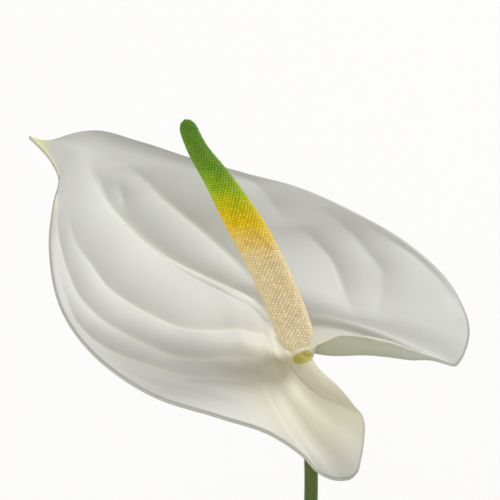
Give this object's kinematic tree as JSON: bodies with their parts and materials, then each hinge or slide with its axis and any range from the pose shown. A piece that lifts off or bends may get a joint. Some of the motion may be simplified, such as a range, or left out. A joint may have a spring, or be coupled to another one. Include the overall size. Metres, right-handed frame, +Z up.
{
  "type": "potted anthurium",
  "caption": "Potted anthurium: a white heart-shaped spathe with an upright spadix on a tall stem, above heart-shaped leaves in a plain clay pot.",
  "frame": {"origin": "middle of the pot's foot, on the surface that the pot stands on", "axes": "+Z up along the pot's middle line and the plant's height; the flower's tip points to -X and +Y, and its front lobe hangs towards -Y, where the picture was taken from"},
  "size_m": [0.4189, 0.3892, 0.4931],
  "materials": {
    "clay": "unglazed fired clay, matt",
    "soil": "damp bark potting mix, matt",
    "stem": "living green stem, satin",
    "spathe": "waxy white, satin gloss, slightly see-through",
    "spadix": "fine florets, cream turning yellow and green at the tip",
    "leaf": "living dark green leaf, glossy on top"
  },
  "bodies": {
    "root": {"pot": "clay", "soil": "soil", "flower_stem": "stem", "spathe": "spathe", "spadix": "spadix", "leaf_1": "leaf", "leaf_2": "leaf", "leaf_3": "leaf", "leaf_4": "leaf", "leaf_5": "leaf", "leaf_6": "leaf", "leaf_7": "leaf", "leaf_8": "leaf", "leaf_9": "leaf"}
  },
  "joints": []
}
